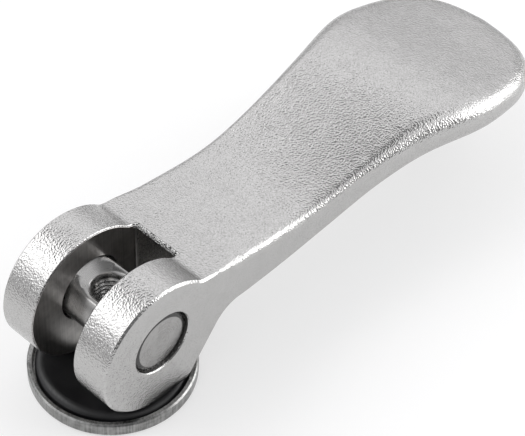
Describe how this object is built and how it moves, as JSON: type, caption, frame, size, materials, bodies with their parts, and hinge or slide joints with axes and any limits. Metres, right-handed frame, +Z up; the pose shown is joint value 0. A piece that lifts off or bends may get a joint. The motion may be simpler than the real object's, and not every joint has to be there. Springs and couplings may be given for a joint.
{
  "type": "cam lever",
  "caption": "Quick-clamping cam lever: a cast lever with a forked eccentric head turns on a threaded cross pin over a plastic thrust pad and a steel washer.",
  "frame": {"origin": "where the axis of the cross pin meets the axis of its thread", "axes": "+Z up along the thread's axis, away from the washer; +X along the clamped lever towards its tip; Y along the cross pin"},
  "size_m": [0.093, 0.03, 0.0238],
  "materials": {
    "lever": "satin cast stainless steel",
    "pin": "turned stainless steel",
    "pad": "smooth black plastic",
    "washer": "turned stainless steel"
  },
  "bodies": {
    "nut": {"pin": "pin"},
    "lever": {"lever": "lever"},
    "thrust_washer": {"pad": "pad", "washer": "washer"}
  },
  "joints": [
    {"name": "lever_swing", "type": "hinge", "parent": "nut", "child": "lever", "pos_m": [0, 0, 0], "axis": [0, -1, 0], "range_deg": [0, 180]},
    {"name": "washer_lift", "type": "slide", "parent": "nut", "child": "thrust_washer", "axis": [0, 0, 1], "range_m": [0, 0.00176]}
  ],
  "couplings": [
    {"joint": "washer_lift", "follows": "lever_swing", "m_per_rad": 0.00055704}
  ]
}
